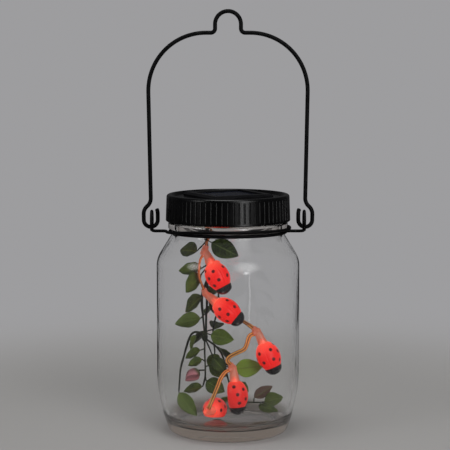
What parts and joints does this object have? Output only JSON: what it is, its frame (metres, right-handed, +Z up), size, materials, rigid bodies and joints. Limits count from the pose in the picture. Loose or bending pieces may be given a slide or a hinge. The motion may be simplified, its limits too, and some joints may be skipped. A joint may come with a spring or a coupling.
{
  "type": "hanging jar lantern",
  "caption": "Glass jar with a wire bail and a screw-on solar lid; a string of ladybug lights wound with an artificial vine hangs inside.",
  "frame": {"origin": "centre of the jar's standing ring, on the surface that it stands on", "axes": "+Z up along the jar's axis, +X from one ear of the neck wire to the other, -Y towards the front"},
  "size_m": [0.1028, 0.085, 0.2516],
  "materials": {
    "clear_glass": "clear pressed soda glass, smooth",
    "black_wire": "steel wire, black paint, slightly rough",
    "gasket": "soft off-white rubber",
    "lid_plastic": "moulded black plastic, satin",
    "panel_black": "moulded black plastic",
    "cell_blue": "dark blue-black silicon",
    "clear_resin": "clear poured resin",
    "board_green": "green circuit board",
    "housing_black": "moulded black plastic, satin",
    "screw_steel": "plated steel",
    "chip_black": "black moulded package",
    "battery_sleeve": "green shrink sleeve",
    "red_lead": "red insulation",
    "switch_steel": "plated steel shell",
    "slider_black": "black plastic",
    "grommet_black": "black rubber",
    "copper_lead": "clear insulation over two copper strands",
    "sleeve_red": "translucent red plastic",
    "bulb_red": "red light-emitting diode",
    "shell_red": "translucent red plastic, glossy",
    "head_black": "black plastic, glossy",
    "stem_brown": "dark olive-brown plastic-covered wire",
    "leaf_green": "printed green cloth leaf",
    "leaf_brown": "printed green and purple-brown cloth leaf",
    "bud_pink": "pink cloth bud"
  },
  "bodies": {
    "jar": {"glass_jar": "clear_glass", "neck_wire": "black_wire"},
    "bail": {"bail_handle": "black_wire"},
    "seal": {"lid_gasket": "gasket"},
    "lid": {"lid_cap": "lid_plastic", "panel_frame": "panel_black", "solar_cell": "cell_blue", "panel_resin": "clear_resin", "panel_backing": "board_green", "battery_housing": "housing_black", "housing_cover": "housing_black", "cover_screws": "screw_steel", "circuit_board": "board_green", "controller_chip": "chip_black", "inductor": "chip_black", "battery_cell": "battery_sleeve", "battery_clips": "screw_steel", "panel_leads": "red_lead", "switch_body": "switch_steel", "cable_grommet": "grommet_black", "vine_stem": "stem_brown", "vine_buds": "bud_pink", "light_wire_1": "copper_lead", "light_wire_2": "copper_lead", "light_wire_3": "copper_lead", "light_wire_4": "copper_lead", "light_wire_5": "copper_lead", "led_sleeve_1": "sleeve_red", "led_sleeve_2": "sleeve_red", "led_sleeve_3": "sleeve_red", "led_sleeve_4": "sleeve_red", "led_sleeve_5": "sleeve_red", "led_bulb_1": "bulb_red", "led_bulb_2": "bulb_red", "led_bulb_3": "bulb_red", "led_bulb_4": "bulb_red", "led_bulb_5": "bulb_red", "bug_shell_1": "shell_red", "bug_shell_2": "shell_red", "bug_shell_3": "shell_red", "bug_shell_4": "shell_red", "bug_shell_5": "shell_red", "bug_head_1": "head_black", "bug_head_2": "head_black", "bug_head_3": "head_black", "bug_head_4": "head_black", "bug_head_5": "head_black", "vine_leaves_1": "leaf_green", "vine_leaves_2": "leaf_green", "vine_leaves_3": "leaf_green", "vine_leaves_4": "leaf_green", "vine_leaves_5": "leaf_brown", "vine_leaves_6": "leaf_green"},
    "switch": {"switch_slider": "slider_black"}
  },
  "joints": [
    {"name": "bail_swing", "type": "hinge", "parent": "jar", "child": "bail", "pos_m": [0, 0, 0.1231], "axis": [1, 0, 0], "range_deg": [-115, 115]},
    {"name": "lid_lift", "type": "slide", "parent": "jar", "child": "seal", "axis": [0, 0, 1], "range_m": [0, 0.00635]},
    {"name": "lid_turn", "type": "hinge", "parent": "seal", "child": "lid", "pos_m": [0, 0, 0.1395], "axis": [0, 0, 1], "range_deg": [0, 452]},
    {"name": "switch_slide", "type": "slide", "parent": "lid", "child": "switch", "axis": [1, 0, 0], "range_m": [0, 0.002]}
  ],
  "couplings": [
    {"joint": "lid_turn", "follows": "lid_lift", "rad_per_m": 1236.8}
  ]
}
